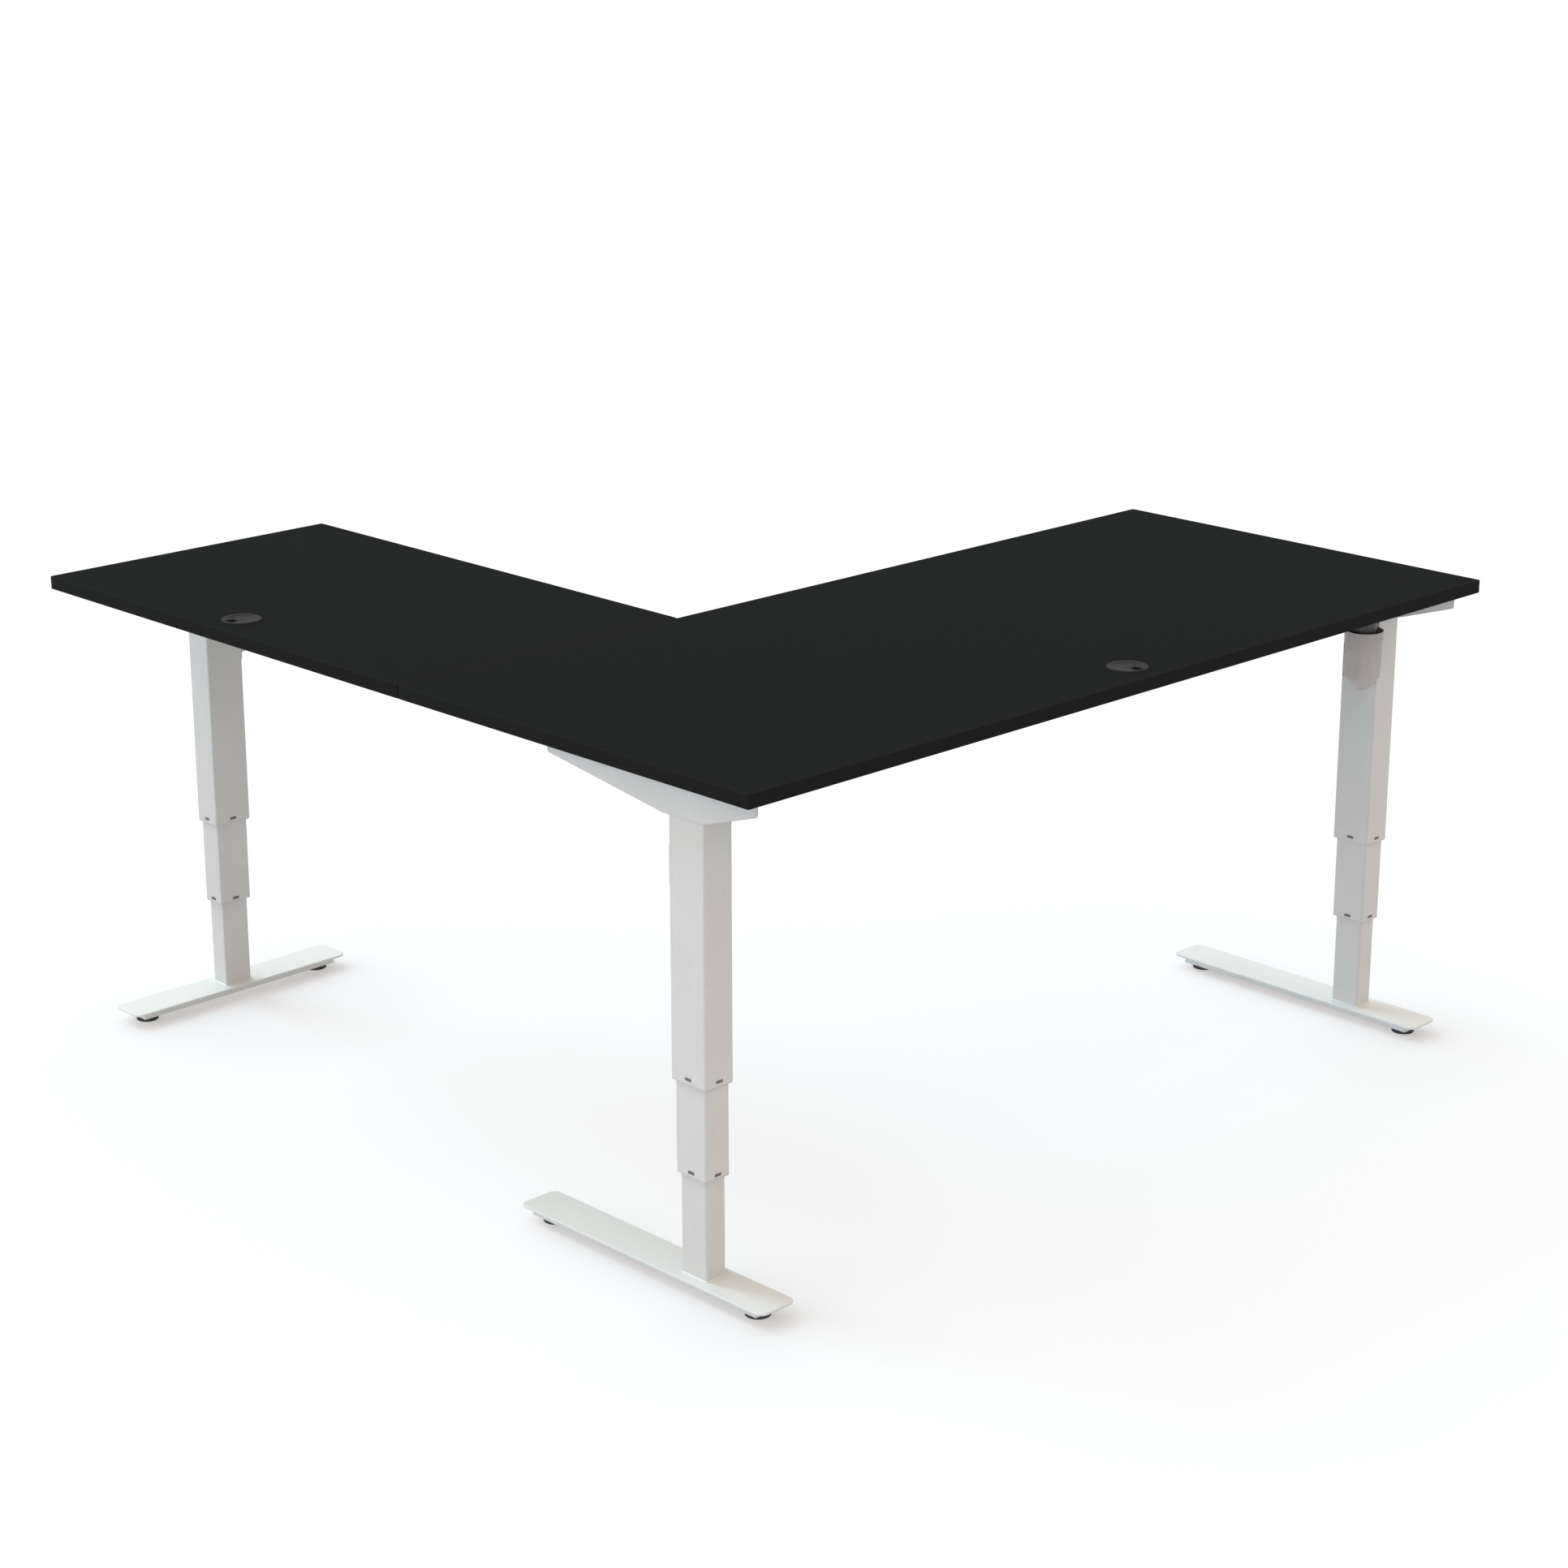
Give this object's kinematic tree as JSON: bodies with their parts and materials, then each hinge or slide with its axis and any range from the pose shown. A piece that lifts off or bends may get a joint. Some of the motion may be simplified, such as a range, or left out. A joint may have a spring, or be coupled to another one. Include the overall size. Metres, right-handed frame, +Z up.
{
  "type": "height adjustable standing desk",
  "caption": "L-shaped height adjustable desk: black boards on white three-stage lifting columns, with under-board frame, motors, levelling feet, control box and handset.",
  "frame": {"origin": "on the floor under the middle of the footprint", "axes": "+Z up; the long outer edge of the main board faces -Y; the return board runs toward +Y along the -X side"},
  "size_m": [1.8, 1.8, 0.857],
  "materials": {
    "board": "matt black laminate on board, black edging",
    "white_paint": "satin off-white powder coat",
    "cover_plastic": "light grey moulded plastic",
    "pad_plastic": "dark charcoal moulded pad",
    "bush_plastic": "dark grey sliding plastic",
    "grommet_plastic": "dark grey moulded plastic",
    "black_plastic": "black moulded plastic",
    "socket_plastic": "black plastic",
    "key_rubber": "dark grey key",
    "display_glass": "dark gloss window",
    "zinc_steel": "bright zinc plate",
    "spindle_steel": "machined, greased",
    "gear_casting": "die-cast",
    "motor_case": "dark grey"
  },
  "bodies": {
    "corner_base": {"corner_foot": "white_paint", "corner_inner_tube": "white_paint"},
    "corner_stage": {"corner_middle_tube": "white_paint", "corner_middle_bush": "bush_plastic"},
    "desk": {"main_top": "board", "return_top": "board", "seam_plates": "zinc_steel", "top_screws": "zinc_steel", "frame_bolts": "zinc_steel", "grommet_left_liner": "grommet_plastic", "grommet_right_liner": "grommet_plastic", "main_beam_sleeve": "white_paint", "main_beam_slide": "white_paint", "return_beam_sleeve": "white_paint", "return_beam_slide": "white_paint", "control_case": "black_plastic", "control_lid": "black_plastic", "control_sockets": "socket_plastic", "handset_case": "black_plastic", "handset_display": "display_glass", "corner_arm": "white_paint", "corner_outer_tube": "white_paint", "corner_outer_bush": "bush_plastic", "corner_gearbox": "gear_casting", "corner_motor": "motor_case", "corner_motor_cover": "cover_plastic", "right_arm": "white_paint", "right_outer_tube": "white_paint", "right_outer_bush": "bush_plastic", "right_gearbox": "gear_casting", "right_motor": "motor_case", "right_motor_cover": "cover_plastic", "left_arm": "white_paint", "left_outer_tube": "white_paint", "left_outer_bush": "bush_plastic", "left_gearbox": "gear_casting", "left_motor": "motor_case", "left_motor_cover": "cover_plastic"},
    "right_stage": {"right_middle_tube": "white_paint", "right_middle_bush": "bush_plastic"},
    "right_base": {"right_foot": "white_paint", "right_inner_tube": "white_paint"},
    "left_stage": {"left_middle_tube": "white_paint", "left_middle_bush": "bush_plastic"},
    "left_base": {"left_foot": "white_paint", "left_inner_tube": "white_paint"},
    "corner_screw": {"corner_spindle": "spindle_steel"},
    "corner_pad_a": {"corner_leveller_a": "pad_plastic"},
    "corner_pad_b": {"corner_leveller_b": "pad_plastic"},
    "right_screw": {"right_spindle": "spindle_steel"},
    "right_pad_a": {"right_leveller_a": "pad_plastic"},
    "right_pad_b": {"right_leveller_b": "pad_plastic"},
    "left_screw": {"left_spindle": "spindle_steel"},
    "left_pad_a": {"left_leveller_a": "pad_plastic"},
    "left_pad_b": {"left_leveller_b": "pad_plastic"},
    "left_cap": {"grommet_left_cap": "grommet_plastic"},
    "right_cap": {"grommet_right_cap": "grommet_plastic"},
    "key_up": {"handset_up": "key_rubber"},
    "key_down": {"handset_down": "key_rubber"}
  },
  "joints": [
    {"name": "corner_stage_slide", "type": "slide", "parent": "corner_base", "child": "corner_stage", "axis": [0, 0, 1], "range_m": [-0.14, 0.19]},
    {"name": "desk_lift", "type": "slide", "parent": "corner_stage", "child": "desk", "axis": [0, 0, 1], "range_m": [-0.14, 0.19]},
    {"name": "right_stage_slide", "type": "slide", "parent": "desk", "child": "right_stage", "axis": [0, 0, -1], "range_m": [-0.14, 0.19]},
    {"name": "right_base_slide", "type": "slide", "parent": "right_stage", "child": "right_base", "axis": [0, 0, -1], "range_m": [-0.14, 0.19]},
    {"name": "left_stage_slide", "type": "slide", "parent": "desk", "child": "left_stage", "axis": [0, 0, -1], "range_m": [-0.14, 0.19]},
    {"name": "left_base_slide", "type": "slide", "parent": "left_stage", "child": "left_base", "axis": [0, 0, -1], "range_m": [-0.14, 0.19]},
    {"name": "corner_spindle_turn", "type": "hinge", "parent": "desk", "child": "corner_screw", "pos_m": [-0.828, -0.722, 0.6], "axis": [0, 0, 1], "continuous": true},
    {"name": "corner_leveller_a_slide", "type": "slide", "parent": "corner_base", "child": "corner_pad_a", "axis": [0, 0, -1], "range_m": [0, 0.008]},
    {"name": "corner_leveller_b_slide", "type": "slide", "parent": "corner_base", "child": "corner_pad_b", "axis": [0, 0, -1], "range_m": [0, 0.008]},
    {"name": "right_spindle_turn", "type": "hinge", "parent": "desk", "child": "right_screw", "pos_m": [0.828, -0.722, 0.6], "axis": [0, 0, 1], "continuous": true},
    {"name": "right_leveller_a_slide", "type": "slide", "parent": "right_base", "child": "right_pad_a", "axis": [0, 0, -1], "range_m": [0, 0.008]},
    {"name": "right_leveller_b_slide", "type": "slide", "parent": "right_base", "child": "right_pad_b", "axis": [0, 0, -1], "range_m": [0, 0.008]},
    {"name": "left_spindle_turn", "type": "hinge", "parent": "desk", "child": "left_screw", "pos_m": [-0.602, 0.834, 0.6], "axis": [0, 0, 1], "continuous": true},
    {"name": "left_leveller_a_slide", "type": "slide", "parent": "left_base", "child": "left_pad_a", "axis": [0, 0, -1], "range_m": [0, 0.008]},
    {"name": "left_leveller_b_slide", "type": "slide", "parent": "left_base", "child": "left_pad_b", "axis": [0, 0, -1], "range_m": [0, 0.008]},
    {"name": "left_cap_turn", "type": "hinge", "parent": "desk", "child": "left_cap", "pos_m": [-0.8365, 0.408, 0.856], "axis": [0, 0, 1], "continuous": true},
    {"name": "right_cap_turn", "type": "hinge", "parent": "desk", "child": "right_cap", "pos_m": [0.005, -0.8365, 0.856], "axis": [0, 0, 1], "continuous": true},
    {"name": "up_key_press", "type": "slide", "parent": "desk", "child": "key_up", "axis": [0, -1, 0], "range_m": [0, 0.001], "stiffness_N_per_m": 500, "springref_m": -0.002},
    {"name": "down_key_press", "type": "slide", "parent": "desk", "child": "key_down", "axis": [0, -1, 0], "range_m": [0, 0.001], "stiffness_N_per_m": 500, "springref_m": -0.002}
  ],
  "couplings": [
    {"joint": "corner_stage_slide", "follows": "desk_lift", "ratio": 1},
    {"joint": "right_stage_slide", "follows": "desk_lift", "ratio": 1},
    {"joint": "right_base_slide", "follows": "desk_lift", "ratio": 1},
    {"joint": "left_stage_slide", "follows": "desk_lift", "ratio": 1},
    {"joint": "left_base_slide", "follows": "desk_lift", "ratio": 1},
    {"joint": "corner_spindle_turn", "follows": "desk_lift", "rad_per_m": 628.32},
    {"joint": "right_spindle_turn", "follows": "desk_lift", "rad_per_m": 628.32},
    {"joint": "left_spindle_turn", "follows": "desk_lift", "rad_per_m": 628.32}
  ]
}
